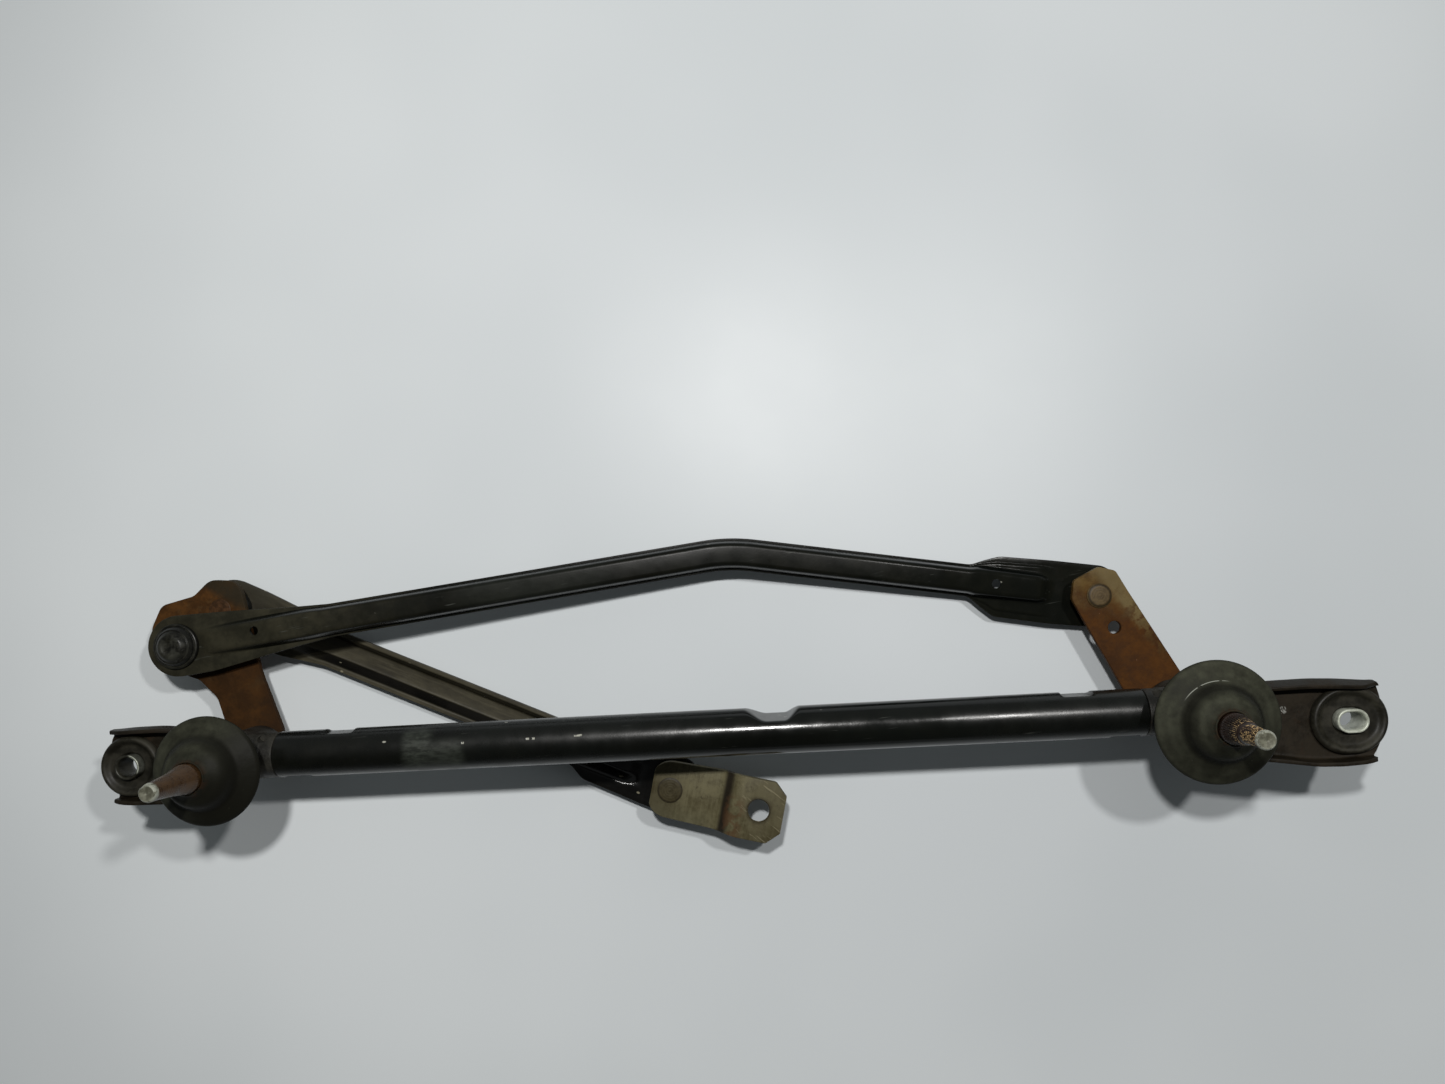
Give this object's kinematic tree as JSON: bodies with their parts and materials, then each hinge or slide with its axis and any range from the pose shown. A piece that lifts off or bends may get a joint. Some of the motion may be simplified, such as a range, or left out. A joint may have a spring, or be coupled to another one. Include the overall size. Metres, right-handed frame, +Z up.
{
  "type": "windshield wiper linkage",
  "caption": "Wiper linkage: tube frame with two capped pivots and rubber-bushed ears, rocker levers, ball-jointed links and a motor crank.",
  "frame": {"origin": "centre of the bounding box in X and Y, on the surface that the assembly lies on", "axes": "+X from the left pivot to the right pivot, +Z up the wiper shafts"},
  "size_m": [0.6036, 0.1528, 0.1194],
  "materials": {
    "tube": "semi-gloss black paint, scuffed",
    "housing": "black casting",
    "bracket": "satin black paint, dusty brown",
    "cap": "matt weathered rubber",
    "grommet": "satin black rubber",
    "sleeve": "pale yellow-green zinc",
    "bush": "oiled sintered bronze",
    "shaft": "brown rust, bright tip",
    "left_lever": "orange-brown rust",
    "right_lever": "olive zinc turning to rust",
    "stud": "olive zinc",
    "ring": "plain steel",
    "long_link": "semi-gloss black paint, scuffed",
    "drive_link": "dusty olive over black paint",
    "socket": "black moulded plastic",
    "seal": "black rubber",
    "crank": "olive zinc, stained"
  },
  "bodies": {
    "frame": {"frame_tube": "tube", "left_pivot_housing": "housing", "left_lower_bush": "bush", "left_upper_bush": "bush", "left_mount_bracket": "bracket", "left_grommet": "grommet", "left_grommet_sleeve": "sleeve", "left_pivot_cap": "cap", "right_pivot_housing": "housing", "right_lower_bush": "bush", "right_upper_bush": "bush", "right_mount_bracket": "bracket", "right_grommet": "grommet", "right_grommet_sleeve": "sleeve", "right_pivot_cap": "cap"},
    "left_lever": {"left_shaft": "shaft", "left_lever": "left_lever", "left_link_stud": "stud", "left_drive_stud": "stud", "left_thrust_washer": "ring", "left_top_washer": "ring", "left_circlip": "ring"},
    "right_lever": {"right_shaft": "shaft", "right_lever": "right_lever", "right_link_stud": "stud", "right_thrust_washer": "ring", "right_top_washer": "ring", "right_circlip": "ring"},
    "long_link": {"long_link": "long_link", "long_link_left_socket": "socket", "long_link_right_socket": "socket", "long_link_left_seal": "seal", "long_link_right_seal": "seal"},
    "drive_link": {"drive_link": "drive_link", "drive_link_lever_socket": "socket", "drive_link_crank_socket": "socket", "drive_link_lever_seal": "seal", "drive_link_crank_seal": "seal"},
    "crank": {"motor_crank": "crank", "crank_stud": "stud"}
  },
  "joints": [
    {"name": "left_pivot", "type": "hinge", "parent": "frame", "child": "left_lever", "pos_m": [-0.23945, -0.01842, 0.06], "axis": [0, 0, 1], "range_deg": [-75, 4]},
    {"name": "right_pivot", "type": "hinge", "parent": "frame", "child": "right_lever", "pos_m": [0.21895, -0.01842, 0.06], "axis": [0, 0, 1], "range_deg": [-80.5, 4.3]},
    {"name": "long_link_ball", "type": "hinge", "parent": "left_lever", "child": "long_link", "pos_m": [-0.27685, 0.03769, 0.031], "axis": [0, 0, 1], "range_deg": [-4, 74]},
    {"name": "drive_link_ball", "type": "hinge", "parent": "left_lever", "child": "drive_link", "pos_m": [-0.25945, 0.05459, 0.0085], "axis": [0, 0, 1], "range_deg": [-4, 75]},
    {"name": "crank_ball", "type": "hinge", "parent": "drive_link", "child": "crank", "pos_m": [-0.03075, -0.04892, 0.0085], "axis": [0, 0, 1], "continuous": true}
  ],
  "couplings": [
    {"joint": "right_pivot", "follows": "left_pivot", "ratio": 1.0724},
    {"joint": "long_link_ball", "follows": "left_pivot", "ratio": -0.9838},
    {"joint": "drive_link_ball", "follows": "left_pivot", "ratio": -1}
  ]
}
